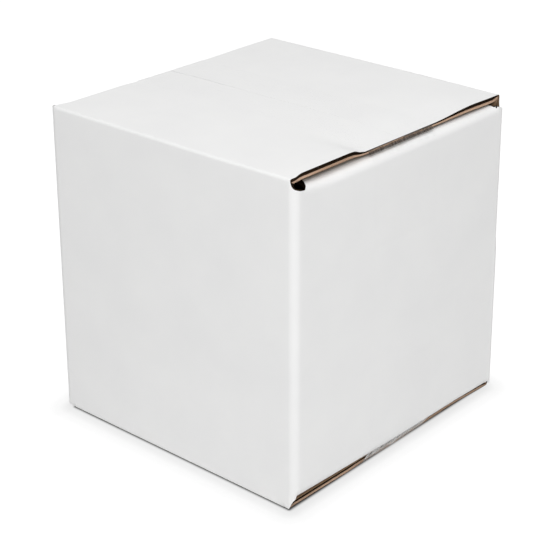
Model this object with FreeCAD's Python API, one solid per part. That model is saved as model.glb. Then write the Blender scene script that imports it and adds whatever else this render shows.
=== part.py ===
import FreeCAD, Part
import math
import os

from FreeCAD import Vector

os.makedirs("parts", exist_ok=True)

# A closed and taped slotted shipping carton, folded from one sheet of corrugated board.
# Millimetres. X runs along the taped seam, Y across it and Z up.
# The origin is on the floor under the middle of the carton.
# The front and back walls carry the outer flaps, the two end walls the inner flaps.

# Clear room inside, between the walls and between the upper and lower inner flaps
inside_length = 152.4
inside_width = 152.4
inside_height = 152.0

# Corrugated board: its whole thickness, one facing sheet of it, and the spacing of its waves
board = 3.0
facing = 0.35
wave_spacing = 6.4

# Outside radii of the folds: wall to wall, wall to outer flap, wall to inner flap, wall to glue tab
corner_fold = 4.2
outer_flap_fold = 2.0
inner_flap_fold = 4.7
tab_fold = 2.6

# Room between an inner flap and the outer flaps over it, and between two flaps that meet
flap_play = 0.2
seam_gap = 0.4

# Slots at the corners: how far an outer and an inner flap stay back from the wall beside them,
# and how deep the slots reach below the top and above the bottom
outer_flap_inset = 4.5
inner_flap_inset = 7.2
slot_depth = 4.2

# Glue tab inside the back wall, at the left end: width, taper of its ends, room below the flaps
tab_width = 34.0
tab_taper = 9.0
tab_clearance = 2.0

# Clear tape over both seams: roll width, film thickness, and length down each end wall
tape_width = 48.0
tape_thickness = 0.05
tape_overhang = 50.0

# The taut tape presses the ends of the outer flaps in: depth at the right and the left end of the
# top and at both ends of the bottom, how far along the seam that reaches, and how far past the
# tape's side it fades out
top_right_press = 1.8
top_left_press = 0.3
bottom_press = 0.4
press_length = 26.0
press_fade = 9.0

# Sizes that follow
outer_length = inside_length + 2 * board
outer_width = inside_width + 2 * board
inner_flap_height = inside_height + 2 * board
outer_height = inner_flap_height + 2 * board + 2 * flap_play
middle_height = outer_height / 2
outer_flap_length = outer_length - 2 * outer_flap_inset
inner_flap_length = outer_width - 2 * inner_flap_inset
wall_height = outer_height - 2 * slot_depth
channel_depth = wave_spacing / 4
channel_width = board - 2 * facing
left_side = -outer_length / 2
back_side = outer_width / 2
outer_flap_end = outer_flap_length / 2

AXIS_X = Vector(1, 0, 0)
AXIS_Y = Vector(0, 1, 0)
AXIS_Z = Vector(0, 0, 1)


def block(size_x, size_y, size_z, x=0.0, y=0.0, z=middle_height):
    """A box with its middle at the given point."""
    corner = Vector(x - size_x / 2, y - size_y / 2, z - size_z / 2)
    return Part.makeBox(size_x, size_y, size_z, corner)


def span(x, y, z):
    """A box from its lowest to its highest value along each direction."""
    size = [high - low for low, high in (x, y, z)]
    return Part.makeBox(*size, Vector(x[0], y[0], z[0]))


def round_along(solid, axis, radius):
    """Round the edges that run along an axis."""
    if radius <= 0:
        return solid
    edges = [edge for edge in solid.Edges if round(abs(edge.tangentAt(edge.FirstParameter).dot(axis))) == 1]
    return solid.makeFillet(radius, edges)


def sleeve(sizes, axis, thickness, radius, x=0.0, y=0.0):
    """A band of board, open along one axis, that goes round four folds."""
    ends = [axis.x, axis.y, axis.z]
    hollow = [size - 2 * thickness * (1 - end) for size, end in zip(sizes, ends)]
    outside = round_along(block(*sizes, x=x, y=y), axis, radius)
    inside = round_along(block(*hollow, x=x, y=y), axis, radius - thickness)
    return outside.cut(inside)


def prism(points, reach):
    """A flat outline of straight sides, drawn out along one direction."""
    return Part.Face(Part.makePolygon(points + points[:1])).extrude(reach)


def walls():
    """The four upright walls, with the glue joint at the back left corner."""
    sizes = (outer_length, outer_width, wall_height)
    ring = sleeve(sizes, AXIS_Z, board, corner_fold)

    # Between the slots the end walls stop where the round shoulders of the inner flaps begin
    for side in (-1, 1):
        shoulder = middle_height + side * inner_flap_height / 2
        ring = ring.cut(block(2 * outer_length, inner_flap_length, 2 * inner_flap_fold, z=shoulder))

    # At the joint the back wall ends in a cut edge, level with the left wall
    reach = 2 * corner_fold
    joint = block(reach, board, wall_height, x=left_side + reach / 2, y=back_side - board / 2)

    # The left wall turns in behind that edge, which leaves a groove beside the fold
    turn = back_side - board
    groove = span((left_side, left_side + tab_fold), (turn - tab_fold, turn), (0, outer_height))
    base = Vector(left_side + tab_fold, turn - tab_fold, 0)
    fold = Part.makeCylinder(tab_fold, outer_height, base)

    channel = block(2 * channel_depth, channel_width, outer_height, x=left_side, y=back_side - board / 2)
    return ring.fuse(joint).cut(groove.cut(fold)).cut(channel)


def glue_tab():
    """The tab that holds the back wall to the left wall, with tapered ends."""
    start = left_side + board / 2
    end = left_side + board + tab_width
    low = 2 * board + flap_play + tab_clearance
    high = outer_height - low
    y = back_side - 2 * board
    points = [Vector(start, y, low), Vector(end, y, low + tab_taper),
              Vector(end, y, high - tab_taper), Vector(start, y, high)]
    return prism(points, Vector(0, board, 0))


def outer_flaps():
    """The front and back walls with their flaps, which meet at the seam along X."""
    band = sleeve((outer_flap_length, outer_width, outer_height), AXIS_X, board, outer_flap_fold)
    band = band.cut(block(outer_flap_length, seam_gap, 2 * outer_height))

    # Both side edges of a flap are cut along a wave, so they show an open channel
    core = (2 * channel_depth, outer_width - 2 * facing, outer_height - 2 * facing)
    pinched = block(outer_length, tape_width + 2 * press_fade, outer_height, z=outer_height)
    for side in (-1, 1):
        channel = sleeve(core, AXIS_X, channel_width, outer_flap_fold - facing, x=side * outer_flap_end)
        band = band.cut(channel.cut(pinched))
    return band


def inner_flaps():
    """The end walls with their flaps, which meet along Y under the outer flaps."""
    band = sleeve((outer_length, inner_flap_length, inner_flap_height), AXIS_Y, board, inner_flap_fold)
    band = band.cut(block(seam_gap, inner_flap_length, 2 * outer_height))

    core = (outer_length - 2 * facing, 2 * channel_depth, inner_flap_height - 2 * facing)
    for side in (-1, 1):
        end = side * inner_flap_length / 2
        band = band.cut(sleeve(core, AXIS_Y, channel_width, inner_flap_fold - facing, y=end))
    return band


def pressed_end(side, face, up, depth):
    """The shallow wedge by which the tape presses in one end of the outer flaps."""
    x_start = side * (outer_flap_end - press_length)
    x_end = side * outer_flap_end
    half = tape_width / 2
    wide = half + press_fade
    start = [Vector(x_start, -half, face), Vector(x_start, half, face)]
    end = [Vector(x_end, -wide, face), Vector(x_end, wide, face)]
    low = [Vector(x_end, -half, face - up * depth), Vector(x_end, half, face - up * depth)]
    outlines = [[start[0], start[1], end[1], end[0]],
                [start[0], start[1], low[1], low[0]],
                [start[0], end[0], low[0]],
                [start[1], end[1], low[1]],
                [end[0], end[1], low[1], low[0]]]
    faces = [Part.Face(Part.makePolygon(outline + outline[:1])) for outline in outlines]
    return Part.Solid(Part.Shell(faces))


def tape_corner(side, up, depth):
    """Lines of the tape from an end wall to the flat of the outer flaps, in the XZ plane."""
    # The tape leaves the round shoulder of the inner flap at a tangent and spans to the outer flap
    centre_x = outer_length / 2 - inner_flap_fold
    centre_z = inner_flap_height / 2 - inner_flap_fold
    edge_z = outer_height / 2 - depth
    away = math.hypot(outer_flap_end - centre_x, edge_z - centre_z)
    towards = math.atan2(edge_z - centre_z, outer_flap_end - centre_x)
    leave = towards - math.acos(inner_flap_fold / away)

    def point(x, z):
        return Vector(side * x, 0, middle_height + up * z)

    def shoulder(angle):
        x = centre_x + inner_flap_fold * math.cos(angle)
        return point(x, centre_z + inner_flap_fold * math.sin(angle))

    foot = point(outer_length / 2, -outer_height / 2)
    flap_edge = point(outer_flap_end, edge_z)
    flat = point(outer_flap_end - press_length, outer_height / 2)
    middle = point(0, outer_height / 2)
    return [Part.makeLine(foot, shoulder(0)),
            Part.Arc(shoulder(0), shoulder(leave / 2), shoulder(leave)).toShape(),
            Part.makeLine(shoulder(leave), flap_edge),
            Part.makeLine(flap_edge, flat),
            Part.makeLine(flat, middle)]


def tape(up, right_press, left_press):
    """One strip of clear tape along a seam and down both end walls, let into the board's face."""
    edges = tape_corner(1, up, right_press) + tape_corner(-1, up, left_press)
    feet = [Vector(side * outer_length / 2, 0, middle_height - up * outer_height / 2) for side in (1, -1)]
    outline = Part.Wire(Part.sortEdges(edges + [Part.makeLine(*feet)])[0])
    hollow = outline.makeOffset2D(-tape_thickness, join=2)
    strip = Part.Face(outline).cut(Part.Face(hollow)).extrude(Vector(0, tape_width, 0))
    strip.translate(Vector(0, -tape_width / 2, 0))

    # Only the length over the flaps and down to the overhang on each wall is tape
    reach_z = middle_height + up * (outer_height - tape_overhang) / 2
    return strip.common(block(2 * outer_length, 2 * tape_width, tape_overhang, z=reach_z))


def carton():
    """The whole folded sheet as one solid, pressed in where the tape is."""
    folded = walls().fuse([glue_tab(), outer_flaps(), inner_flaps()]).removeSplitter()
    for side, top_press in ((-1, top_left_press), (1, top_right_press)):
        folded = folded.cut(pressed_end(side, outer_height, 1, top_press))
        folded = folded.cut(pressed_end(side, 0, -1, bottom_press))
    return folded


top_tape = tape(1, top_right_press, top_left_press)
bottom_tape = tape(-1, bottom_press, bottom_press)
pieces = {
    "carton": carton().cut(top_tape).cut(bottom_tape),
    "top_tape": top_tape,
    "bottom_tape": bottom_tape,
}

for name, shape in pieces.items():
    solid = shape.Solids[0]
    print(name, "solids", len(shape.Solids), "valid", solid.isValid(), "volume", round(solid.Volume, 1))
    solid.exportStep("parts/" + name + ".step")
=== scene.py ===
# %% [markdown]
# # A taped shipping carton
# This lesson dresses a measured model of a closed slotted carton. The board is white outside and
# brown inside. It is drawn flat, as a die cuts it, and then folded up by a formula, because a real
# carton gets its slots, its open wave channels and its springy folds in that way.

# %% Load the measured model
import math

import bpy
import numpy as np
from mathutils import Matrix, Vector


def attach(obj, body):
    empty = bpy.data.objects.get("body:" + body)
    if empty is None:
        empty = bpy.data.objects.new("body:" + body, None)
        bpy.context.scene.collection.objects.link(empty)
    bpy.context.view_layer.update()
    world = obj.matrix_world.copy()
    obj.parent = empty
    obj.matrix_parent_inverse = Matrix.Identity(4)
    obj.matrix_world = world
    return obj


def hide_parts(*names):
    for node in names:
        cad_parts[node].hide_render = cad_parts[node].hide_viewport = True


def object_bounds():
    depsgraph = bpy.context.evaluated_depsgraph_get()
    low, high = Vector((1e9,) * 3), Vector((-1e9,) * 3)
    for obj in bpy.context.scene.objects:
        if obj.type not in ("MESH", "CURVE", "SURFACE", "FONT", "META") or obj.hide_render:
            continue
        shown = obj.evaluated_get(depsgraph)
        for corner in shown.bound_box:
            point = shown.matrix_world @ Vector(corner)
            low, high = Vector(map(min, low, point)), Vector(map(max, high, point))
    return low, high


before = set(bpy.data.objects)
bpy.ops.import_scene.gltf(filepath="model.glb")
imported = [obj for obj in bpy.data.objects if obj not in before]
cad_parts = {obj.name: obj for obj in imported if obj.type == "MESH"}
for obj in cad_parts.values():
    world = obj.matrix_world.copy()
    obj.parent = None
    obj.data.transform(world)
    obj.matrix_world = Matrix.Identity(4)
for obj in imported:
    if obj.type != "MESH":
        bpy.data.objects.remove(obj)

cad_low, cad_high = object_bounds()
MM = 0.001
LENGTH, WIDTH, HEIGHT = (side / MM for side in cad_high - cad_low)
print("carton, mm:", round(LENGTH, 1), round(WIDTH, 1), round(HEIGHT, 1))

# %% [markdown]
# ## The camera
# A product camera on a long lens looks down on the near corner. It is placed by the turn and rise
# of its line of sight, a distance, and the point that it looks at. It is shifted down a little, as
# the photograph's framing needs, because the carton's upright edges draw together less than the
# rise alone would make them.

# %% Camera
TURN, RISE, ROLL = (math.radians(angle) for angle in (41.658, 21.919, -0.212))
DISTANCE = 817.72 * MM
LOOK_AT = Vector((-1.2, 0.0, 110.92)) * MM
LENS = 105.648
SHIFT = -0.1387

back = Vector((math.sin(TURN) * math.cos(RISE), -math.cos(TURN) * math.cos(RISE), math.sin(RISE)))
sight = (-back).to_track_quat("-Z", "Y")
camera = bpy.data.objects.new("camera", bpy.data.cameras.new("camera"))
bpy.context.scene.collection.objects.link(camera)
camera.data.lens = LENS
camera.data.shift_y = SHIFT
camera.rotation_mode = "QUATERNION"
camera.location = LOOK_AT + back * DISTANCE
camera.rotation_quaternion = sight @ Matrix.Rotation(ROLL, 3, "Z").to_quaternion()
bpy.context.scene.camera = camera
bpy.context.scene.view_settings.view_transform = "Standard"
print("camera at, mm:", [round(place / MM) for place in camera.location])

# %% [markdown]
# ## The sky
# The carton stands in a white room. Its walls could be built, but an even glow from all sides
# lights the carton in the same way and needs no geometry. The sky is shown as plain white to the
# camera, off glossy things and through clear ones, and lights the carton with less than that.

# %% Helpers for shader nodes
def feed(tree, node, inputs):
    """Link a socket to each named input of a node, or write any other value on it."""
    for name, value in inputs.items():
        if isinstance(value, bpy.types.NodeSocket):
            tree.links.new(value, node.inputs[name])
        else:
            node.inputs[name].default_value = value


def add_node(tree, kind, inputs, operation=None):
    """A new shader node with its inputs fed."""
    node = tree.nodes.new("ShaderNode" + kind)
    if operation:
        node.operation = operation
    feed(tree, node, inputs)
    return node


def shown_rays(tree):
    """1 for rays from the camera, off glossy things or through clear ones, 0 for all others."""
    path = add_node(tree, "LightPath", {})
    share = path.outputs["Is Camera Ray"]
    for kind in ("Is Glossy Ray", "Is Transmission Ray"):
        either = add_node(tree, "Math", {0: share, 1: path.outputs[kind]}, "MAXIMUM")
        share = either.outputs["Value"]
    return share


# %% Sky
SKY_GLOW = 0.28

world = bpy.data.worlds.new("white_room")
bpy.context.scene.world = world
world.use_nodes = True
sky = world.node_tree
glow = add_node(sky, "MapRange", {"Value": shown_rays(sky), "To Min": SKY_GLOW, "To Max": 1.0})
feed(sky, sky.nodes["Background"], {"Color": (1.0, 1.0, 1.0, 1.0),
                                    "Strength": glow.outputs["Result"]})
print("sky glow on the carton:", SKY_GLOW)

# %% [markdown]
# ## The lamps
# The glow alone would leave every wall the same. One broad lamp in front brightens the near fold
# and the right wall, and one overhead brightens the lid. Both are large, so no shadow has a hard
# edge.

# %% Lamps
middle = Vector((0.0, 0.0, HEIGHT * MM / 2))


def lamp(name, size, power, offset):
    """A square soft lamp at an offset in metres from the middle of the carton, which it faces."""
    light = bpy.data.lights.new(name, "AREA")
    light.size = size
    light.energy = power
    holder = bpy.data.objects.new(name, light)
    bpy.context.scene.collection.objects.link(holder)
    holder.location = middle + Vector(offset)
    holder.rotation_mode = "QUATERNION"
    holder.rotation_quaternion = (middle - holder.location).to_track_quat("-Z", "Y")
    print(name, power, "watts")


lamp("front_lamp", size=1.0, power=18.4, offset=(0.95, -0.95, 1.2))
lamp("overhead_lamp", size=1.4, power=8.8, offset=(0.1, -0.1, 1.5))

# %% [markdown]
# ## The ground
# The ground is a wide plane that is shown as plain white too. A traced shadow would be lost in
# that white, so the soft dark seam under the carton is painted. Its tone depends on how far a spot
# lies from the footprint, the part of the lower flaps that stands on the ground. The footprint is
# sheared a little, as those flaps are skewed.

# %% Ground
GROUND_SIZE = 8.0
GROUND_DROP = 0.1

bpy.ops.object.select_all(action="DESELECT")
bpy.ops.mesh.primitive_plane_add(size=GROUND_SIZE, location=(0.0, 0.0, -GROUND_DROP * MM))
ground = bpy.context.object
ground.name = "ground"
paint = bpy.data.materials.new("white_ground")
paint.use_nodes = True
ground.data.materials.append(paint)
print("ground, m:", GROUND_SIZE)

# %% Paint of the ground and the seam under the carton
GROUND_PAINT = {"Base Color": (0.9, 0.9, 0.9, 1.0), "Roughness": 0.9, "Specular IOR Level": 0.1}
GROUND_SHOWN_WHITE = 0.85
GROUND_SHOWN_GLOW = 1.13
FOOTPRINT = {"X": 73.8, "Y": 78.3}
FOOTPRINT_SHEAR = 0.014

# The tone at each share of the seam's reach, after which the ramp ends in white
CONTACT_REACH = 20.0
CONTACT_TONES = (
    (0.0, 0.02), (0.02, 0.04), (0.045, 0.32), (0.08, 0.66), (0.12, 0.74),
    (0.2, 0.755), (0.3, 0.80), (0.42, 0.86), (0.6, 0.89), (0.8, 0.94),
)

tree = paint.node_tree
matt = tree.nodes["Principled BSDF"]
feed(tree, matt, GROUND_PAINT)
spot = add_node(tree, "SeparateXYZ", {"Vector": add_node(tree, "TexCoord", {}).outputs["Object"]})
sheared = add_node(tree, "Math", {0: spot.outputs["Y"], 1: FOOTPRINT_SHEAR, 2: spot.outputs["X"]},
                   "MULTIPLY_ADD")
outside = {}
for axis, place in (("X", sheared.outputs["Value"]), ("Y", spot.outputs["Y"])):
    size = add_node(tree, "Math", {0: place}, "ABSOLUTE")
    past = add_node(tree, "Math", {0: size.outputs["Value"], 1: FOOTPRINT[axis] * MM}, "SUBTRACT")
    clipped = add_node(tree, "Math", {0: past.outputs["Value"], 1: 0.0}, "MAXIMUM")
    outside[axis] = clipped.outputs["Value"]
away = add_node(tree, "CombineXYZ", outside)
distance = add_node(tree, "VectorMath", {0: away.outputs["Vector"]}, "LENGTH")
near = add_node(tree, "MapRange", {"Value": distance.outputs["Value"],
                                   "From Max": CONTACT_REACH * MM})
contact = add_node(tree, "ValToRGB", {"Fac": near.outputs["Result"]})
stops = contact.color_ramp.elements
stops.remove(stops[0])
for place, tone in CONTACT_TONES:
    stops.new(place).color = (tone, tone, tone, 1.0)
shine = add_node(tree, "Emission", {"Color": contact.outputs["Color"],
                                    "Strength": GROUND_SHOWN_GLOW})
shown = add_node(tree, "MapRange", {"Value": shown_rays(tree), "To Max": GROUND_SHOWN_WHITE})
mix = add_node(tree, "MixShader", {"Fac": shown.outputs["Result"], 1: matt.outputs["BSDF"],
                                   2: shine.outputs["Emission"]})
feed(tree, tree.nodes["Material Output"], {"Surface": mix.outputs["Shader"]})
print("the seam under the carton fades over, mm:", CONTACT_REACH)

# %% [markdown]
# ## The board and the die
# Single-wall board is two flat facings with a wave glued between them. The waves run upright in the
# walls and on through the flaps, so a flap's side edge is cut along a wave and shows an open
# channel. Sizes are in millimetres here, and points of the flat sheet are kept as (along the
# girth, up the wall, depth into the board). The walls are numbered left, front, right and back.

# %% Sizes of the board and the cuts
BOARD = 3.0
FACING = 0.35
WAVE = 6.4
OUTER_INSET = 4.5
NEAR_INSET = 2.8
INNER_INSET = {True: 7.2, False: 2.8}
SLOT_END = HEIGHT - 4.2
FLAP_PLAY = 0.2
SEAM_GAP = 0.4
FLAP_END = LENGTH / 2 - OUTER_INSET

# Fold lines along the girth, from the left wall's start to the back wall's cut edge
FOLDS = np.cumsum([0.0, WIDTH, LENGTH, WIDTH, LENGTH])
FLAT_WIDTH = FOLDS[-1]
print("sheet round the walls, mm:", round(FLAT_WIDTH, 1))


def smooth(low, high, value):
    """A soft step from 0 at low to 1 at high."""
    share = np.clip((value - low) / (high - low), 0.0, 1.0)
    return share * share * (3.0 - 2.0 * share)


def panel_at(u):
    """The number of the wall at each place along the girth."""
    return np.clip(np.searchsorted(FOLDS, u, side="right") - 1, 0, 3)


def flap_inset(panel, upper):
    """How far a panel's flap stays back from the walls beside it."""
    if panel == 1 and upper:
        return NEAR_INSET
    return OUTER_INSET if panel % 2 else INNER_INSET[upper]


# %% [markdown]
# ## How the folds spring
# Board never folds quite square. The inner flaps of the right wall stand a little off the outer
# ones, most of all at the bottom near the front corner, where the fold rides up. A bent lattice
# could push the board about, but a radius and a drop that change along each fold are easier to set.

# %% Radius and drop of each fold
OUTER_FOLD = 1.2

# Upper fold of the right wall: its radius, its gap under the outer flaps, what the gap gains with
# the share of the wall and its square, and what the pinch at the near corner takes off both
TOP_RADIUS = 3.8
TOP_GAP, TOP_GAP_SLOPE, TOP_GAP_BEND = 1.9, 0.4, -0.8
PINCH_FULL, PINCH_END, PINCH_RADIUS, PINCH_GAP = 6.0, 20.0, 1.3, 0.9

# Lower fold of the right wall: radius and gap at the near corner, what the radius loses along it,
# and what both lose at the far corner
LOW_RADIUS, LOW_GAP, LOW_RADIUS_LOSS = 6.2, 2.0, 2.2
FAR_SHARE, FAR_RADIUS_LOSS, FAR_GAP_LOSS = 0.8, 1.0, 0.4

# Both folds of the left wall: radius and gap at their start, and what they gain along the wall
LEFT_RADIUS, LEFT_RADIUS_GAIN = 4.7, 0.4
LEFT_GAP, LEFT_GAP_GAIN = 0.7, 0.3


def inner_fold(panel, upper, along):
    """Radius of an end wall's fold and its drop below the outer face, along the fold."""
    share = np.clip(along / WIDTH, 0.0, 1.0)
    flat = BOARD + FLAP_PLAY
    if panel == 2 and upper:
        pinch = 1.0 - smooth(PINCH_FULL, PINCH_END, along)
        drop = flat + TOP_GAP + TOP_GAP_SLOPE * share + TOP_GAP_BEND * share ** 2
        return TOP_RADIUS - PINCH_RADIUS * pinch, drop - PINCH_GAP * pinch
    if panel == 2:
        far = smooth(FAR_SHARE, 1.0, share)
        radius = LOW_RADIUS - LOW_RADIUS_LOSS * share - FAR_RADIUS_LOSS * far
        return radius, flat + LOW_GAP * (1.0 - share) - FAR_GAP_LOSS * far
    return LEFT_RADIUS + LEFT_RADIUS_GAIN * share, flat + LEFT_GAP + LEFT_GAP_GAIN * share


def fold_sizes(panel, upper, along):
    """Radius and drop of a panel's fold, as arrays."""
    if panel % 2:
        return OUTER_FOLD + 0.0 * along, 0.0 * along
    return inner_fold(panel, upper, along)


for upper in (True, False):
    radius, drop = fold_sizes(2, upper, np.array([0.0, WIDTH]))
    print("right wall's fold, upper", upper, "radius", radius.round(1), "drop", drop.round(1))

# %% [markdown]
# ## Going over a fold
# A strip of board that meets a fold goes up the wall, round an arc, and on level as the flap. On
# the inside of a tight fold the arc has no room, so the board there turns sharply instead.

# %% Over a fold
SETTLE_LENGTH = 30.0


def over_fold(rise, deep, radius, drop):
    """Distance in from the wall's face and below the end face, of a point that goes over a fold."""
    start = HEIGHT - drop - radius
    centre = np.maximum(deep, radius)
    inside = np.maximum(radius - deep, 0.0)
    angle = np.clip((rise - start) / radius, 0.0, math.pi / 2)
    run = radius + rise - start - radius * math.pi / 2
    inward = centre - inside * np.cos(angle)
    below = drop + centre - inside * np.sin(angle)
    wall = rise < start
    below = np.where(wall, np.maximum(HEIGHT - rise, drop + centre), below)
    inward = np.where(wall, deep, inward)
    flap = angle >= math.pi / 2
    inward = np.where(flap, np.maximum(run, centre), inward)

    # Past its fold an inner flap comes back up to lie under the outer one
    settled = smooth(radius, radius + SETTLE_LENGTH, inward) * (drop > 0.0)
    below = np.where(flap, drop + deep - (drop - BOARD - FLAP_PLAY) * settled, below)
    return inward, below


# %% [markdown]
# ## The pull of the tape
# Taut tape presses the ends of the outer flaps in, most at the right end of the top. The board
# beside it stays up, so it lifts there, and the far flaps droop and skew. A cloth simulation could
# find such a shape, but smooth steps can be matched to the photograph one by one.

# %% Crush, lift, droop and skew of the outer flaps
TAPE_WIDTH = 48.0
TAPE_SEAT = 0.06
PRESS_LENGTH = 26.0
RIGHT_PRESS, LEFT_PRESS, BOTTOM_PRESS = 1.8, 0.3, 0.4
CRUSH_SHARE = 0.8

# Where the press ends and over what length it fades, on the near and on the far side of the seam
PRESS_FROM = (26.0, 24.0)
PRESS_FADE = (9.0, 36.0)

# Past LIFE_FROM along the seam the upper flaps lift, droop and skew. Below, only the far one skews
LIFE_FROM = 20.0
DROOP = 1.0
LIFT = 0.55
SKEW = 0.9
LOW_SKEW = 2.0
LOW_SKEW_FROM = 50.0


def beside_tape(y):
    """A soft step from 0 under the tape to 1 on the free board, steeper on the near side."""
    start = np.where(y < 0.0, PRESS_FROM[0], PRESS_FROM[1])
    fade = np.where(y < 0.0, PRESS_FADE[0], PRESS_FADE[1])
    return smooth(0.0, 1.0, (np.abs(y) - start) / fade)


def tape_press(x, y, upper):
    """How far the tape presses in the ends of the outer flaps."""
    depth = np.where(x > 0.0, RIGHT_PRESS, LEFT_PRESS) if upper else BOTTOM_PRESS
    along = smooth(FLAP_END - PRESS_LENGTH, FLAP_END, np.abs(x))
    return (TAPE_SEAT + depth * along) * (1.0 - beside_tape(y))


def outer_flap_life(point, deep, upper):
    """Crush under the tape, and the lift, droop and skew of the flaps' right ends."""
    x, y = point[:, 0], point[:, 1]
    crush = tape_press(x, y, upper) * (1.0 - CRUSH_SHARE * deep / BOARD)
    if not upper:
        far = smooth(LOW_SKEW_FROM, WIDTH / 2, y)
        point[:, 0] += LOW_SKEW * smooth(LIFE_FROM, FLAP_END, x) * far
        point[:, 2] += crush
        return
    droop = DROOP * smooth(LIFE_FROM, LENGTH / 2, x) * smooth(LIFE_FROM, WIDTH / 2, y)
    lift = LIFT * smooth(LIFE_FROM, FLAP_END, x) * beside_tape(y)
    point[:, 0] += SKEW * smooth(LIFE_FROM, FLAP_END, x) * smooth(TAPE_WIDTH / 2, WIDTH / 2, y)
    point[:, 2] += lift - droop - crush


pressed = tape_press(np.array([FLAP_END]), np.array([0.0]), True)
print("right end of the top is pressed in by, mm:", pressed.round(2))


# %% The tired far corner and the upper seam
# The lower far corner stands off the ground: how much, where that starts, and how high up it ends
FAR_RISE, FAR_RISE_FROM = 1.7, -10.0
TIP_RISE, TIP_RISE_FROM = 0.6, 55.0
RISE_FADE = 40.0

# Half gap of the seam, as shares of SEAM_GAP, where it is shut and where it is most open
SEAM_SHUT, SEAM_OPEN = 0.02, 0.24
SEAM_OPEN_UNTIL, SEAM_SHUT_FROM = -74.0, 10.0


def lift_far_corner(point):
    """Raise the tired far right corner a little off the ground."""
    x, y, z = point.T
    rise = FAR_RISE * smooth(FAR_RISE_FROM, WIDTH / 2, y)
    rise = rise + TIP_RISE * smooth(TIP_RISE_FROM, WIDTH / 2, y)
    point[:, 2] = z + rise * smooth(LIFE_FROM, LENGTH / 2, x) * (1.0 - smooth(0.0, RISE_FADE, z))


def seam_half_gap(along, panel):
    """Half of the gap at the upper seam, which closes towards the right end."""
    x = along - LENGTH / 2 if panel == 1 else LENGTH / 2 - along
    ripple = 0.5 + 0.5 * np.sin(x / WAVE + panel)
    open_share = 1.0 - smooth(SEAM_OPEN_UNTIL, SEAM_SHUT_FROM, x)
    return SEAM_GAP * (SEAM_SHUT + SEAM_OPEN * open_share * ripple)


far_corner = np.array([[LENGTH / 2, WIDTH / 2, 0.0]])
lift_far_corner(far_corner)
print("far corner stands off the ground by, mm:", far_corner[0, 2].round(2))


# %% [markdown]
# ## Folding the sheet
# Each point of the flat sheet is sent to its place on the closed carton. A wall is a straight
# stretch, an upright fold is a quarter circle, and past the top or bottom line the sheet goes over
# into its flap. Bones or hooks could fold a mesh too, but would smear the slots and the corners.

# %% Walls and flaps
PANEL_OUT = np.array([[-1.0, 0.0], [0.0, -1.0], [1.0, 0.0], [0.0, 1.0]])
PANEL_ALONG = np.array([[0.0, -1.0], [1.0, 0.0], [0.0, 1.0], [-1.0, 0.0]])
PANEL_START = np.array([[-LENGTH, WIDTH], [-LENGTH, -WIDTH], [LENGTH, -WIDTH], [LENGTH, WIDTH]]) / 2

# The board is thinner along a scored line: by what share, and how far from the line
SCORE_CRUSH = 0.5
SCORE_REACH = 2.6

# How far from its corner an end wall's upper fold starts to lean, and from which share of the flap
# on the seam's edge moves
LEAN_START = 5.8
SEAM_SHARE = 0.7


def lean_share(panel, upper, offset):
    """How much of its flap's bend the wall beside a slot takes, at a distance from its corner."""
    start = LEAN_START if panel % 2 == 0 and upper else 0.0
    return np.clip((offset - start) / (flap_inset(panel, upper) - start), 0.0, 1.0) ** 2


def on_panel(panel, upper, u, rise, deep):
    """Places of points on the flat of one wall, or on its fold and flap."""
    along = u - FOLDS[panel]
    if panel % 2:
        deep = deep * (1.0 - SCORE_CRUSH * np.exp(-((rise - HEIGHT) / SCORE_REACH) ** 2))
    inward, below = over_fold(rise, deep, *fold_sizes(panel, upper, along))
    lean = lean_share(panel, upper, np.minimum(along, FOLDS[panel + 1] - FOLDS[panel] - along))
    inward = deep + (inward - deep) * lean
    below = HEIGHT - rise + (below - HEIGHT + rise) * lean
    if panel % 2 and upper:
        reach = WIDTH / 2 - SEAM_GAP / 2
        near_seam = smooth(SEAM_SHARE * reach, reach, inward)
        inward = inward + (SEAM_GAP / 2 - seam_half_gap(along, panel)) * near_seam
    flat = PANEL_START[panel] + along[:, None] * PANEL_ALONG[panel]
    flat = flat - inward[:, None] * PANEL_OUT[panel]
    point = np.column_stack([flat, HEIGHT - below if upper else below])
    if panel % 2:
        outer_flap_life(point, deep, upper)
    return point


# %% [markdown]
# ## Corners and the glue joint
# Near a slot each wall starts to lean in with its flap, and that dies out round the upright fold,
# so the two walls have to agree there. The hidden glue tab is the sheet's other end. It turns in
# behind the back wall's cut edge at the back left corner, and its ends are tapered.

# %% Upright folds
CORNER_FOLD = 4.2


def on_corner(corner, upper, u, rise, deep):
    """Places of points on an upright fold between two walls."""
    before, after = corner - 1, corner
    turn = (u - FOLDS[corner] + CORNER_FOLD) / (2 * CORNER_FOLD) * math.pi / 2
    out = np.cos(turn)[:, None] * PANEL_OUT[before] + np.sin(turn)[:, None] * PANEL_OUT[after]
    centre = PANEL_START[after] - (PANEL_OUT[before] + PANEL_OUT[after]) * CORNER_FOLD
    flat = centre + out * (CORNER_FOLD - deep)[:, None]
    below = HEIGHT - rise
    for panel, side, edge in ((before, -1.0, FOLDS[corner] - FOLDS[before]), (after, 1.0, 0.0)):
        lean = lean_share(panel, upper, side * (u - FOLDS[corner]))
        inward, under = over_fold(rise, deep, *fold_sizes(panel, upper, edge + 0.0 * u))
        flat = flat - PANEL_OUT[panel] * ((inward - deep) * lean)[:, None]
        below = below + (under - HEIGHT + rise) * lean
    point = np.column_stack([flat, HEIGHT - below if upper else below])
    moved = point.copy()
    outer_flap_life(moved, deep, upper)
    outer_share = turn / (math.pi / 2) if after % 2 else 1.0 - turn / (math.pi / 2)
    return point + (moved - point) * outer_share[:, None]


# %% Glue joint
TAB_FOLD = 2.6
TAB_WIDTH = 34.0
TAB_TAPER = 9.0
TAB_CLEARANCE = 2.0


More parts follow.
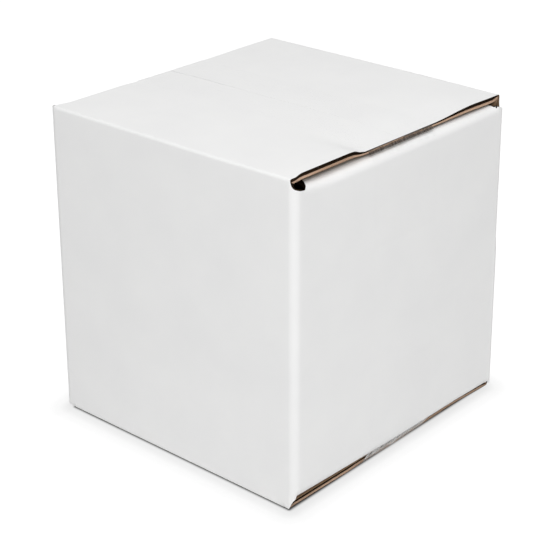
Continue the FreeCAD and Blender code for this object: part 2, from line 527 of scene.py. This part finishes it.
def on_joint(upper, u, rise, deep):
    """Places of points on the glue tab, and on the small fold that joins it to the left wall."""
    turn = np.clip((u - BOARD + TAB_FOLD) / (2 * TAB_FOLD), 0.0, 1.0) * math.pi / 2
    out = np.cos(turn)[:, None] * PANEL_OUT[3] + np.sin(turn)[:, None] * PANEL_OUT[0]
    corner = PANEL_START[0] - BOARD * PANEL_OUT[3]
    centre = corner - (PANEL_OUT[3] + PANEL_OUT[0]) * TAB_FOLD
    flat = centre + out * np.maximum(TAB_FOLD - deep, 0.0)[:, None]
    past = np.maximum(deep - TAB_FOLD, 0.0)[:, None]
    flat = flat - past * np.where((turn < math.pi / 4)[:, None], PANEL_OUT[3], PANEL_OUT[0])
    run = np.maximum(BOARD - TAB_FOLD - u, 0.0)
    flat = flat - run[:, None] * PANEL_OUT[0]
    shoulder = HEIGHT - 2 * BOARD - FLAP_PLAY - TAB_CLEARANCE - TAB_TAPER * run / TAB_WIDTH
    height = np.where(run > 0.0, np.minimum(rise, shoulder), rise)
    return np.column_stack([flat, height if upper else HEIGHT - height])


# %% [markdown]
# ## Torn slots
# The slots' ends are straight on the die, but on this carton they have torn into curves as the
# flaps were folded, most of all at the near top corner. They could be cut out of the folded board
# with Booleans. Here the flat sheet's own rows are moved, so the rims stay clean.

# %% Curves of the slots' ends
# How far the ends of the slots lie from the top or from the floor, across each slot:
# places from the corner, with the outer flap's side negative, and the distance at each
SLOT_CURVES = {
    (2, True): ((-2.8, -2.4, -1.9, -0.8, 0.4, 1.7, 6.3, 7.2),
                (0.4, 1.6, 2.8, 4.0, 4.5, 4.7, 5.6, 5.6)),
    (2, False): ((-4.2, -3.2, -2.2, -0.9, 0.4, 1.4, 2.8), (0.2, 1.0, 2.9, 5.0, 6.0, 6.9, 7.7)),
    (3, True): ((-4.5, 0.0, 3.5, 7.2), (7.0, 6.8, 5.4, 4.5)),
    (3, False): ((-4.5, 2.8), (2.4, 2.4)),
    (1, True): ((-2.8, 1.0, 7.2), (0.3, 0.3, 3.8)),
    (1, False): ((-4.5, 2.8), (1.0, 1.0)),
}

# The move of a slot's end fades out down the wall, in from the outer flap's side and up that side
SLOT_BLEND = 9.0
SLOT_SIDE = 3.0
SLOT_EASE = 14.0

# Slack for telling apart places on the sheet
HAIR = 0.01


def shape_slots(u, v):
    """Heights in the flat, with the torn curves of the slots' ends."""
    shaped = v.copy()
    for (corner, upper), (offset, depth) in SLOT_CURVES.items():
        side = (u - FOLDS[corner]) * (1.0 if corner == 2 else -1.0)
        rise = v if upper else HEIGHT - v
        flap = flap_inset(1 if corner < 3 else 3, upper)
        here = (side > -flap - SLOT_SIDE) & (side < INNER_INSET[upper] - HAIR) & (rise > HEIGHT / 2)
        stretch = HEIGHT - np.interp(side, offset, depth) - SLOT_END
        stretch = stretch * smooth(SLOT_END - SLOT_BLEND, SLOT_END, rise)

        # An outer flap's side goes along where the slot's end lies nearer the fold than SLOT_END
        on_flap = side < -flap + HAIR
        share = 1.0 - smooth(flap + 2 * HAIR, flap + SLOT_SIDE, -side)
        share = share * (depth[0] < HEIGHT - SLOT_END)
        fade = 1.0 - np.clip((rise - SLOT_END) / SLOT_EASE, 0.0, 1.0)
        stretch = np.where(on_flap, stretch * share * fade, stretch)
        shaped[here] += (stretch if upper else -stretch)[here]
    return shaped


# %% Flaps cut back beside the front top corners
# The right wall's flap has lost a torn strip, and the front one gets narrower past its fold. Both
# cuts fade out along the girth, so the faces beside them are not squeezed
TEAR = 6.5
TEAR_START = 3.0
TEAR_OVER = (SLOT_END - 3.0, HEIGHT + 2.5)
NARROW_OVER = (HEIGHT, HEIGHT + 9.0)
CUT_BACK_REACH = 28.0


def tear_flap(u, v):
    """Places along the girth, with the flaps at the front top corners cut back past their folds."""
    inset = INNER_INSET[True]
    side = u - FOLDS[2]
    share = smooth(TEAR_START, inset, side) * (1.0 - smooth(inset, CUT_BACK_REACH, side))
    torn = u + TEAR * share * smooth(*TEAR_OVER, v)
    for fold, way in ((1, 1.0), (2, -1.0)):
        side = (u - FOLDS[fold]) * way
        share = (side > NEAR_INSET - HAIR) * (1.0 - smooth(NEAR_INSET, CUT_BACK_REACH, side))
        torn = torn + way * (OUTER_INSET - NEAR_INSET) * share * smooth(*NARROW_OVER, v)
    return torn


# %% The whole fold
def fold_up(points):
    """Send points of the flat sheet to their places on the carton, all in millimetres."""
    v = shape_slots(points[:, 0], points[:, 1])
    u = tear_flap(points[:, 0], points[:, 1])
    deep = -points[:, 2]
    folded = np.zeros_like(points)
    panel = panel_at(u)
    for upper in (False, True):
        rise = v if upper else HEIGHT - v
        half = (v > HEIGHT / 2) == upper
        for index in range(4):
            here = half & (panel == index)
            folded[here] = on_panel(index, upper, u[here], rise[here], deep[here])
        for corner in (1, 2, 3):
            here = half & (np.abs(u - FOLDS[corner]) < CORNER_FOLD)
            folded[here] = on_corner(corner, upper, u[here], rise[here], deep[here])
        here = half & (u < BOARD + TAB_FOLD) & (rise <= SLOT_END + HAIR)
        folded[here] = on_joint(upper, u[here], rise[here], deep[here])
    lift_far_corner(folded)
    return folded


flap_middle = fold_up(np.array([[(FOLDS[1] + FOLDS[2]) / 2, HEIGHT + WIDTH / 4, 0.0]]))[0]
print("the middle of the upper front flap folds to, mm:", flap_middle.round(1))

# %% [markdown]
# ## Drawing the flat sheet
# A grid is the sheet, and its rows and columns are moved to where the die has its lines: close
# together over the folds, wide apart in the plain walls. The waste between the flaps is deleted,
# and Solidify gives the paper its thickness before it is folded.

# %% Rows and columns of the sheet
# Distances of the columns from an upright fold, and from the fold of the glue tab
NEAR_FOLD = [0.0, 0.7, 1.4, 2.1, INNER_INSET[False], 3.5, 4.2,
             OUTER_INSET, 5.8, INNER_INSET[True], 9.0]
NEAR_JOINT = [1.2, 2.0, 2.8, 3.6, OUTER_INSET, BOARD + TAB_FOLD, INNER_INSET[True], NEAR_FOLD[-1]]
TAB_COLUMNS = 6
WALL_STEP = 7.0
FLAP_ROWS = 20
FINE_ROWS = np.linspace(HEIGHT - 11.0, HEIGHT + 5.2, 27)


def spread(low, high, step):
    """Evenly spaced values strictly between two ends."""
    count = max(2, round((high - low) / step))
    return list(np.linspace(low, high, count + 1)[1:-1])


def sheet_columns():
    """Where the sheet's columns lie along the girth."""
    tab_end = BOARD - TAB_FOLD
    columns = list(np.linspace(tab_end - TAB_WIDTH, tab_end, TAB_COLUMNS)) + NEAR_JOINT
    for fold in FOLDS[1:]:
        columns += spread(columns[-1], fold - NEAR_FOLD[-1], WALL_STEP)
        columns += [fold - step for step in reversed(NEAR_FOLD)]
        if fold < FLAT_WIDTH:
            columns += [fold + step for step in NEAR_FOLD[1:]]
    return np.array(columns)


def sheet_rows():
    """Where the sheet's rows lie up the upper half of a wall and over the fold."""
    fine = np.sort(np.append(FINE_ROWS, SLOT_END))
    return np.concatenate([[HEIGHT / 2], spread(HEIGHT / 2, fine[0], WALL_STEP), fine])


def flap_reach(u, upper):
    """How far up the flat sheet each flap ends, so that two flaps meet in the middle."""
    reach = np.zeros_like(u)
    panel = panel_at(u)
    for index in range(4):
        here = panel == index
        radius, drop = fold_sizes(index, upper, u[here] - FOLDS[index])
        half = (WIDTH if index % 2 else LENGTH) / 2 - SEAM_GAP / 2
        reach[here] = HEIGHT - drop - radius + radius * math.pi / 2 + half - radius
    return reach


print("columns of the sheet:", len(sheet_columns()), "rows of half a wall:", len(sheet_rows()))


# %% Helpers for shaping a piece
def read_points(piece):
    """The vertices of a piece as an array."""
    place = np.zeros(len(piece.data.vertices) * 3)
    piece.data.vertices.foreach_get("co", place)
    return place.reshape(-1, 3)


def write_points(piece, place):
    """Move the vertices of a piece."""
    piece.data.vertices.foreach_set("co", np.asarray(place, dtype=np.float32).ravel())
    piece.data.update()


def face_middles(piece):
    """The middles of a piece's faces as an array."""
    middles = np.zeros(len(piece.data.polygons) * 3)
    piece.data.polygons.foreach_get("center", middles)
    return middles.reshape(-1, 3)


def new_grid(name, columns, rows):
    """A grid of faces, one vertex for each column and row, and the indices of both."""
    bpy.ops.object.select_all(action="DESELECT")
    bpy.ops.mesh.primitive_grid_add(x_subdivisions=columns - 1, y_subdivisions=rows - 1, size=2.0)
    piece = bpy.context.object
    piece.name = name
    place = read_points(piece)
    across = np.rint((place[:, 0] + 1.0) / 2.0 * (columns - 1)).astype(int)
    up = np.rint((place[:, 1] + 1.0) / 2.0 * (rows - 1)).astype(int)
    return piece, across, up


def lay_flat(piece, place, materials):
    """Move a grid to its places on the flat sheet, keep those as its UV map, and add its papers."""
    write_points(piece, place)
    corner = np.zeros(len(piece.data.loops), dtype=np.int32)
    piece.data.loops.foreach_get("vertex_index", corner)
    flat = (place[corner, :2] * MM).astype(np.float32)
    piece.data.uv_layers.active.data.foreach_set("uv", flat.ravel())
    for material in materials:
        piece.data.materials.append(material)


def delete_faces(piece, waste):
    """Delete the faces that a test of their middles in the flat picks out."""
    bpy.ops.object.mode_set(mode="EDIT")
    bpy.ops.mesh.select_mode(type="FACE")
    bpy.ops.object.mode_set(mode="OBJECT")
    piece.data.polygons.foreach_set("select", waste(face_middles(piece)))
    bpy.ops.object.mode_set(mode="EDIT")
    bpy.ops.mesh.delete(type="FACE")
    bpy.ops.object.mode_set(mode="OBJECT")


def thicken(piece, thickness, offset):
    """Give a sheet its thickness, with the back and the cut rim in the next two materials."""
    modifier = piece.modifiers.new("thickness", "SOLIDIFY")
    modifier.thickness = thickness
    modifier.offset = offset
    modifier.material_offset = 1
    modifier.material_offset_rim = 2
    bpy.context.view_layer.objects.active = piece
    bpy.ops.object.modifier_apply(modifier=modifier.name)


# %% [markdown]
# ## The two facings
# Each facing is the whole sheet in one thin paper. Behind the slots' ends no light reaches the
# board, so its paper is painted dark there as painted shade, and the rims of the lower flaps are
# painted in the darker plain kraft, as painted shade under the overhanging walls.

# %% Draw and cut the facings
# Places of a facing's papers in its list: the outer face, the cut rim, and the painted shade
FACE_PAPER, RIM_PAPER, SHADE_PAPER = 0, 2, 3

# How far along, below and above a slot's end the paper is painted dark as shade, and how far
# above the near hole
DARK_REACH = 9.0
DARK_BELOW, DARK_ABOVE, DARK_AT_HOLE = 6.0, 2.0, 8.0

# Share of the facing's thickness from its outer face that is painted dark as shade, and how far
# below a slot's end the pinched white rim reaches
DARK_SHARE = 0.6
PINCH_BELOW = 1.0


def waste_of_die(middles):
    """Cells of the flat sheet that the die cuts away between the flaps."""
    u, v = middles[:, 0], middles[:, 1]
    panel = panel_at(u)
    along = u - FOLDS[panel]
    length = FOLDS[panel + 1] - FOLDS[panel]
    insets = np.array([[flap_inset(index, upper) for upper in (False, True)] for index in range(4)])
    inset = insets[panel, (v > HEIGHT / 2).astype(int)]
    return ((along < inset) | (along > length - inset)) & (np.maximum(v, HEIGHT - v) > SLOT_END)


def shade_slot_ends(piece, deep):
    """Set the paper of the rims, and paint dark shade on the side that lies in shade behind the
    slots' ends.
    """
    u, v, z = face_middles(piece).T
    rise = np.maximum(v, HEIGHT - v)
    index = np.zeros(len(u), dtype=np.int32)
    piece.data.polygons.foreach_get("material_index", index)
    if deep > 0.0:
        dark = np.min(np.abs(u[:, None] - FOLDS[None, :]), axis=1) < DARK_REACH
        dark &= (rise > SLOT_END - DARK_BELOW) & (rise < SLOT_END + DARK_ABOVE)
        hole = (u > FOLDS[2]) & (u < FOLDS[2] + DARK_REACH)
        hole &= (v > SLOT_END) & (v < HEIGHT + DARK_AT_HOLE)
        # The rims of the lower flaps take the darker kraft, as painted shade under the overhanging
        # walls
        index[(index == RIM_PAPER) & (v < 0.0)] = FACE_PAPER
        index[(dark | hole) & (z > -deep - DARK_SHARE * FACING)] = SHADE_PAPER
    else:
        # At the front left top corner the white facing is pinched over the cut
        pinched = (np.abs(u - FOLDS[1]) < DARK_REACH) & (v > SLOT_END - PINCH_BELOW)
        index[pinched & (index == RIM_PAPER)] = FACE_PAPER
    piece.data.polygons.foreach_set("material_index", index)


def draw_facing(name, deep, materials):
    """One flat facing of the sheet, cut to the die's outline, with its paper's thickness."""
    columns = sheet_columns()
    half_rows = sheet_rows()
    rows = 2 * (len(half_rows) + FLAP_ROWS) - 1
    piece, across, up = new_grid(name, len(columns), rows)
    u = columns[across]
    step = up - rows // 2
    v = np.zeros(len(u))
    for upper in (True, False):
        here = (step >= 0) == upper
        count = np.abs(step[here])
        wall = half_rows[np.minimum(count, len(half_rows) - 1)]
        share = np.maximum(count - len(half_rows) + 1, 0) / FLAP_ROWS
        rise = wall + share * (flap_reach(u[here], upper) - half_rows[-1])
        v[here] = rise if upper else HEIGHT - rise
    lay_flat(piece, np.column_stack([u, v, np.full(len(u), -deep)]), materials)
    delete_faces(piece, waste_of_die)
    thicken(piece, FACING, -1.0)
    shade_slot_ends(piece, deep)
    return piece


# %% [markdown]
# ## The wave at the cut edges
# Between the facings the wave shows only where the sheet was cut. A strip of wave about one and a
# half waves wide follows each side edge of each flap. It is drawn flat as a cosine, thickened, and
# folded with the same formula, so it bends over the fold and is crushed under the tape with the
# facings. Waves right through the board would never be seen.

# %% Strips of wave
MEDIUM = 0.22
STRIP_WAVES = 1.6
POINTS_PER_WAVE = 16
FEWEST_POINTS = 6
PALE_EDGE = 0.62
WAVE_HEIGHT = (BOARD - 2 * FACING - MEDIUM) / 2


def draw_wave(name, start, side, rows, phase, materials, width=STRIP_WAVES * WAVE):
    """A strip of wave that starts at a cut edge and runs along given rows of the flat sheet."""
    count = max(FEWEST_POINTS, round(width / WAVE * POINTS_PER_WAVE))
    piece, across, up = new_grid(name, count + 1, len(rows))
    run = across / count * width
    deep = BOARD / 2 + WAVE_HEIGHT * np.cos(2 * math.pi * (run / WAVE + phase))
    lay_flat(piece, np.column_stack([start + side * run, np.asarray(rows)[up], -deep]), materials)

    # The wave is painted near black as shade; its first stretch, which light reaches, takes the
    # third paper, which is mostly the pale one of the cut edge
    pale = np.abs(face_middles(piece)[:, 0] - start) < PALE_EDGE
    piece.data.polygons.foreach_set("material_index", RIM_PAPER * pale.astype(np.int32))
    thicken(piece, MEDIUM, 0.0)
    return piece


# %% [markdown]
# ## Paper
# All the papers share one effect: soft clouds where the pulp is denser, and fine fibres. It is a
# node group that gives out two masks, so that each paper can use them at its own strength. The
# papers read the sheet's own flat map, so the pattern runs on round the folds.

# %% Node group for paper
CLOUD_NOISE = {"Scale": 38.0, "Detail": 3.0}
FIBRE_STRETCH = (900.0, 2600.0, 900.0)
FIBRE_NOISE = {"Scale": 1.0, "Detail": 4.0, "Roughness": 0.65}


def new_group(name, inputs, outputs):
    """An empty node group with named sockets, and its input and output nodes."""
    group = bpy.data.node_groups.new(name, "ShaderNodeTree")
    for socket, kind in inputs.items():
        group.interface.new_socket(socket, in_out="INPUT", socket_type=kind)
    for socket in outputs:
        group.interface.new_socket(socket, in_out="OUTPUT", socket_type="NodeSocketFloat")
    return group, group.nodes.new("NodeGroupInput"), group.nodes.new("NodeGroupOutput")


def paper_group():
    """Clouds and fibres of paper, from 0 to 1, for places on the flat sheet in metres."""
    sockets = {"Place": "NodeSocketVector"}
    group, start, end = new_group("paper_texture", sockets, ("Clouds", "Fibres"))
    place = start.outputs["Place"]
    cloud = add_node(group, "TexNoise", {"Vector": place, **CLOUD_NOISE})
    stretch = add_node(group, "Mapping", {"Vector": place, "Scale": FIBRE_STRETCH})
    fibre = add_node(group, "TexNoise", {"Vector": stretch.outputs["Vector"], **FIBRE_NOISE})
    feed(group, end, {"Clouds": cloud.outputs["Fac"], "Fibres": fibre.outputs["Fac"]})
    return group


PAPER = paper_group()
print("node group:", PAPER.name)

# %% The four papers
FIBRE_SHARE = 0.4
TONE_PLACES = (0.3, 0.7)
FIBRE_RELIEF = 0.02


def new_material(name):
    """A material with nodes, and its node tree."""
    material = bpy.data.materials.new(name)
    material.use_nodes = True
    return material, material.node_tree


def paper(name, dark, light, roughness, gloss, bump):
    """A paper whose colour runs between two tones with its clouds and fibres."""
    material, tree = new_material(name)
    texture = add_node(tree, "Group", {})
    texture.node_tree = PAPER
    feed(tree, texture, {"Place": add_node(tree, "UVMap", {}).outputs["UV"]})
    clouds, fibres = texture.outputs["Clouds"], texture.outputs["Fibres"]
    blend = add_node(tree, "Mix", {"Factor": FIBRE_SHARE, 2: clouds, 3: fibres})
    colour = add_node(tree, "ValToRGB", {"Fac": blend.outputs[0]})
    for stop, place, tone in zip(colour.color_ramp.elements, TONE_PLACES, (dark, light)):
        stop.position = place
        stop.color = (*tone, 1.0)
    relief = add_node(tree, "Bump", {"Strength": bump, "Distance": FIBRE_RELIEF * MM,
                                     "Height": fibres})
    feed(tree, tree.nodes["Principled BSDF"], {
        "Base Color": colour.outputs["Color"], "Roughness": roughness,
        "Specular IOR Level": gloss, "Normal": relief.outputs["Normal"]})
    return material


WHITE = paper("white_facing", (0.83, 0.83, 0.83), (0.865, 0.865, 0.86), 0.62, 0.15, 0.25)
KRAFT = paper("kraft_facing", (0.25, 0.155, 0.09), (0.33, 0.215, 0.13), 0.8, 0.15, 0.4)
# The wave's paper is near black: painted shade of the channels between the facings
SHADED_WAVE = paper("shaded_wave", (0.016, 0.009, 0.005), (0.035, 0.02, 0.011), 0.85, 0.1, 0.4)
CUT_EDGE = paper("cut_edge", (0.46, 0.31, 0.21), (0.70, 0.49, 0.36), 0.9, 0.1, 0.5)
print("papers:", [material.name for material in (WHITE, KRAFT, SHADED_WAVE, CUT_EDGE)])

# %% [markdown]
# ## Cutting, folding and gluing it up
# The two facings and the strips of wave are drawn flat one by one. Then they are folded with the
# same formula and joined, because the carton is one sheet of board.

# %% Make the flat sheet
def flap_rows(panel, upper, along):
    """Rows of a strip that follows one flap from its slot's end to its free edge."""
    end = float(flap_reach(np.array([FOLDS[panel] + along]), upper)[0])
    fine = FINE_ROWS[FINE_ROWS > SLOT_END]
    rise = np.concatenate([[SLOT_END], fine, np.linspace(fine[-1], end, FLAP_ROWS + 1)[1:]])
    return rise if upper else (HEIGHT - rise)[::-1]


# The white facing's cut rim takes the near-black wave paper, as painted shade; the kraft facing's
# last paper is the painted shade behind the slots' ends
sheet = [draw_facing("white_sheet", 0.0, (WHITE, KRAFT, SHADED_WAVE)),
         draw_facing("kraft_sheet", BOARD - FACING, (KRAFT, KRAFT, CUT_EDGE, SHADED_WAVE))]

# The wave's phase at a cut is a share of a wave: 0 lies on the inner facing, 0.5 on the outer
FLAP_PHASE = {True: 0.0, False: 0.5}

# The strip at the torn hole is painted near black, its cut edge too, as painted shade: its wall,
# whether it is an upper one, and its side
SHADED_STRIP = (2, True, 1)

for panel in range(4):
    for upper in (False, True):
        inset = flap_inset(panel, upper)
        for side, along in ((1, inset), (-1, FOLDS[panel + 1] - FOLDS[panel] - inset)):
            edge = SHADED_WAVE if (panel, upper, side) == SHADED_STRIP else CUT_EDGE
            name = "wave_{}_{}_{}".format(panel, upper, side)
            rows = flap_rows(panel, upper, along)
            sheet.append(draw_wave(name, FOLDS[panel] + along, side, rows, FLAP_PHASE[upper],
                                   (SHADED_WAVE, SHADED_WAVE, edge)))

# %% Waves at the slots' ends and at the joint
# The slots' ends cut across the waves at each upright fold, and the joint's edge along one
SLOT_WAVE_MARGIN = 1.5
SLOT_WAVE_ROWS = np.array([SLOT_END - 6.0, SLOT_END - 3.0, SLOT_END])
SLOT_PHASE = 0.1
JOINT_PHASE = 0.2
JOINT_ROWS = 24

for upper in (False, True):
    for fold in FOLDS[1:-1]:
        rows = SLOT_WAVE_ROWS if upper else (HEIGHT - SLOT_WAVE_ROWS)[::-1]
        # The waves at the slots' ends are painted near black as shade, but white at the front left
        # top corner
        shade = WHITE if upper and fold == FOLDS[1] else SHADED_WAVE
        sheet.append(draw_wave("slot_wave", fold - INNER_INSET[True] - SLOT_WAVE_MARGIN, 1, rows,
                               SLOT_PHASE, (shade,) * 3,
                               width=2 * INNER_INSET[True] + 2 * SLOT_WAVE_MARGIN))
rows = np.linspace(HEIGHT - SLOT_END, SLOT_END, JOINT_ROWS)
sheet.append(draw_wave("joint_wave", FLAT_WIDTH, -1, rows, JOINT_PHASE,
                       (SHADED_WAVE, SHADED_WAVE, CUT_EDGE)))
print("pieces of the flat sheet:", len(sheet))

# %% Fold and join
BOARD_SMOOTH = math.radians(50.0)

for piece in sheet:
    write_points(piece, fold_up(read_points(piece)) * MM)
bpy.ops.object.select_all(action="DESELECT")
for piece in sheet:
    piece.select_set(True)
bpy.context.view_layer.objects.active = sheet[0]
bpy.ops.object.join()
board = sheet[0]
board.name = "folded_board"
bpy.ops.object.shade_smooth_by_angle(angle=BOARD_SMOOTH)
print("folded board:", len(board.data.polygons), "faces")

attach(board, "root")
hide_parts("carton")

# %% [markdown]
# ## The tape
# Clear film is hard to see on white paper. It shows where it spans the dark crevice at the end of
# a seam: it greys the brown edges behind it, catches light along its own edge, and puckers where
# the two flaps meet. Each strip is a thin ribbon that follows the board from wall to wall. Cloth
# could be draped over the board, but a ribbon that is worked out stays taut.

# %% The path of a strip of tape
TAPE_OVERHANG = 50.0

# The pucker in the film where the flaps meet: its depth, its place and width across the tape, and
# how far it rises as a share of its depth
PUCKER = 0.7
PUCKER_PLACE = -1.5
PUCKER_WIDTH = 0.8
PUCKER_RISE = 0.6

# Rows of the ribbon down an end wall, round its shoulder, from there to the outer flaps' edge,
# over the pressed ends of the flaps, and over the plain middle, which reaches PLAIN_HALF either way
WALL_ROWS, SHOULDER_ROWS, SPAN_ROWS, PRESS_ROWS, PLAIN_ROWS = 8, 6, 5, 11, 8
PLAIN_HALF = 40.0


def face_height(x, y, upper):
    """Height of the outer flaps' outer face."""
    point = np.column_stack([x, y, np.full(len(x), HEIGHT if upper else 0.0)])
    outer_flap_life(point, np.zeros(len(x)), upper)
    return point[:, 2]


def tape_end(side, y, tooth, upper):
    """Points of the tape from its cut end on an end wall to the edge of the outer flap."""
    panel = 2 if side > 0 else 0
    along = WIDTH / 2 + side * y
    radius, drop = (float(value) for value in inner_fold(panel, upper, np.array(along)))
    centre = (LENGTH / 2 - radius, HEIGHT - drop - radius)
    edge_height = float(face_height(np.array([side * FLAP_END]), np.array([y]), upper)[0])
    edge = (FLAP_END, edge_height if upper else HEIGHT - edge_height)
    away = math.hypot(edge[0] - centre[0], edge[1] - centre[1])
    towards = math.atan2(edge[1] - centre[1], edge[0] - centre[0])
    leave = towards - math.acos(min(1.0, radius / away))
    heights = np.linspace(HEIGHT - TAPE_OVERHANG + tooth, centre[1], WALL_ROWS)
    points = [(LENGTH / 2, height) for height in heights]
    for angle in np.linspace(0.0, max(leave, 0.0), SHOULDER_ROWS + 1)[1:]:
        points.append((centre[0] + radius * math.cos(angle), centre[1] + radius * math.sin(angle)))
    start = points[-1]
    depth = PUCKER * math.exp(-((y - PUCKER_PLACE) / PUCKER_WIDTH) ** 2) * (side > 0)
    for share in np.linspace(0.0, 1.0, SPAN_ROWS + 1)[1:]:
        pucker = depth * math.sin(math.pi * share)
        points.append((start[0] + (edge[0] - start[0]) * share + pucker,
                       start[1] + (edge[1] - start[1]) * share + PUCKER_RISE * pucker))
    return [(side * x, y, z if upper else HEIGHT - z) for x, z in points]


def tape_line(y, tooth, upper):
    """The whole line of the tape across the carton at one place of its width."""
    right = tape_end(1, y, tooth, upper)
    left = tape_end(-1, y, tooth, upper)
    x = np.concatenate([np.linspace(FLAP_END, PLAIN_HALF, PRESS_ROWS + 1)[1:],
                        np.linspace(PLAIN_HALF, -PLAIN_HALF, PLAIN_ROWS + 1)[1:],
                        np.linspace(-PLAIN_HALF, -FLAP_END, PRESS_ROWS + 1)[1:-1]])
    top = np.column_stack([x, np.full(len(x), y), face_height(x, np.full(len(x), y), upper)])
    return np.array(right + top.tolist() + left[::-1])


print("points across the carton in one line of tape:", len(tape_line(0.0, 0.0, True)))

# %% [markdown]
# ## Film
# The film is clearest where it is glued down. It is hazier on the shoulder, and most of all where
# it is pulled tight over the crushed edge of the board. At the top that tight film is painted near
# black, as painted shade of the crevice behind it. One clear material would do for most tape, but
# here those stretches look different. All the films share one effect, fine streaks across the seam
# and a patchy gloss, as a node group.

# %% Node group for film
STREAK_STRETCH = (120.0, 700.0, 120.0)
STREAK_RANGE = {"From Min": 0.35, "From Max": 0.65}
HAZE_SCALE = 260.0
FILM_ROUGHNESS = {"To Min": 0.08, "To Max": 0.22}


def film_group():
    """Opacity and roughness of stretched film, for places on the carton in metres."""
    sockets = {"Place": "NodeSocketVector",
               "Clearest": "NodeSocketFloat", "Haziest": "NodeSocketFloat"}
    group, start, end = new_group("film_texture", sockets, ("Opacity", "Roughness"))
    place, clearest, haziest = (start.outputs[socket] for socket in sockets)
    stretch = add_node(group, "Mapping", {"Vector": place, "Scale": STREAK_STRETCH})
    streaks = add_node(group, "TexNoise", {"Vector": stretch.outputs["Vector"], "Scale": 1.0})
    opacity = add_node(group, "MapRange", {
        "Value": streaks.outputs["Fac"], **STREAK_RANGE, "To Min": clearest, "To Max": haziest})
    haze = add_node(group, "TexNoise", {"Vector": place, "Scale": HAZE_SCALE})
    rough = add_node(group, "MapRange", {"Value": haze.outputs["Fac"], **FILM_ROUGHNESS})
    feed(group, end, {"Opacity": opacity.outputs["Result"], "Roughness": rough.outputs["Result"]})
    return group


FILM = film_group()
print("node group:", FILM.name)

# %% The films
FILM_GLOSS = 0.5
CLEAR = (0.9, 0.9, 0.89)
# Tone of the tight film at the top: painted shade of the crevice behind it
SHADED = (0.07, 0.052, 0.038)


def clear_film(name, tone, clearest, haziest):
    """Thin glossy film in one tone, whose streaks run between two opacities."""
    material, tree = new_material(name)
    texture = add_node(tree, "Group", {})
    texture.node_tree = FILM
    place = add_node(tree, "TexCoord", {}).outputs["Object"]
    feed(tree, texture, {"Place": place, "Clearest": clearest, "Haziest": haziest})
    feed(tree, tree.nodes["Principled BSDF"], {
        "Base Color": (*tone, 1.0), "Specular IOR Level": FILM_GLOSS,
        "Alpha": texture.outputs["Opacity"], "Roughness": texture.outputs["Roughness"]})
    return material


GLUED_FILM = clear_film("glued_film", CLEAR, 0.002, 0.004)
SOFT_FILM = {True: clear_film("soft_film_top", CLEAR, 0.01, 0.03),
             False: clear_film("soft_film_bottom", CLEAR, 0.15, 0.4)}
TIGHT_FILM = {True: clear_film("tight_film_top_shaded", SHADED, 0.2, 0.6),
              False: clear_film("tight_film_bottom", CLEAR, 0.15, 0.45)}

# %% Make both strips
TAPE_COLUMNS = 64
TAPE_FILM = 0.05
TAPE_LIFT = 0.03
TOOTH = 0.7
TAPE_SMOOTH = math.radians(60.0)

# The film is free of the board from the shoulder's last row to the outer flaps' edge, and tight
# over the last two rows of faces before that edge
SPAN_START = WALL_ROWS + SHOULDER_ROWS - 1
SPAN_END = SPAN_START + SPAN_ROWS
TIGHT_ROWS = 2


def choose_film(piece, row, rows, upper):
    """Give each face of a strip its film, by its row as counted from the nearer end."""
    for material in (GLUED_FILM, SOFT_FILM[upper], TIGHT_FILM[upper]):
        piece.data.materials.append(material)
    corners = np.zeros(len(piece.data.polygons) * 4, dtype=np.int32)
    piece.data.polygons.foreach_get("vertices", corners)
    first = row[corners].reshape(-1, 4).min(axis=1)
    first = np.minimum(first, rows - 2 - first)
    free = (first >= SPAN_START) & (first < SPAN_END)
    tight = free & (first >= SPAN_END - TIGHT_ROWS)
    piece.data.polygons.foreach_set("material_index", free.astype(np.int32) + tight)


def make_tape(name, node, upper):
    """One strip of tape over a seam and down both end walls, with toothed ends."""
    across = np.linspace(-TAPE_WIDTH / 2, TAPE_WIDTH / 2, TAPE_COLUMNS + 1)
    lines = [tape_line(y, TOOTH * (index % 2), upper) for index, y in enumerate(across)]
    piece, row, column = new_grid(name, len(lines[0]), len(lines))
    place = np.array(lines)[column, row]
    lift_far_corner(place)
    write_points(piece, place * MM)
    choose_film(piece, row, len(lines[0]), upper)
    bpy.ops.object.mode_set(mode="EDIT")
    bpy.ops.mesh.select_all(action="SELECT")
    bpy.ops.mesh.normals_make_consistent(inside=False)
    bpy.ops.object.mode_set(mode="OBJECT")

    # The ribbon is seated just off the board, and then gets the film's thickness outwards
    seat = piece.modifiers.new("seat", "DISPLACE")
    seat.strength = TAPE_LIFT * MM
    seat.mid_level = 0.0
    bpy.ops.object.modifier_apply(modifier=seat.name)
    film = piece.modifiers.new("film", "SOLIDIFY")
    film.thickness = TAPE_FILM * MM
    film.offset = 1.0
    bpy.ops.object.modifier_apply(modifier=film.name)
    bpy.ops.object.shade_smooth_by_angle(angle=TAPE_SMOOTH)
    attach(piece, "root")
    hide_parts(node)
    print(name, len(piece.data.polygons), "faces")


make_tape("clear_tape_top", "top_tape", True)
make_tape("clear_tape_bottom", "bottom_tape", False)
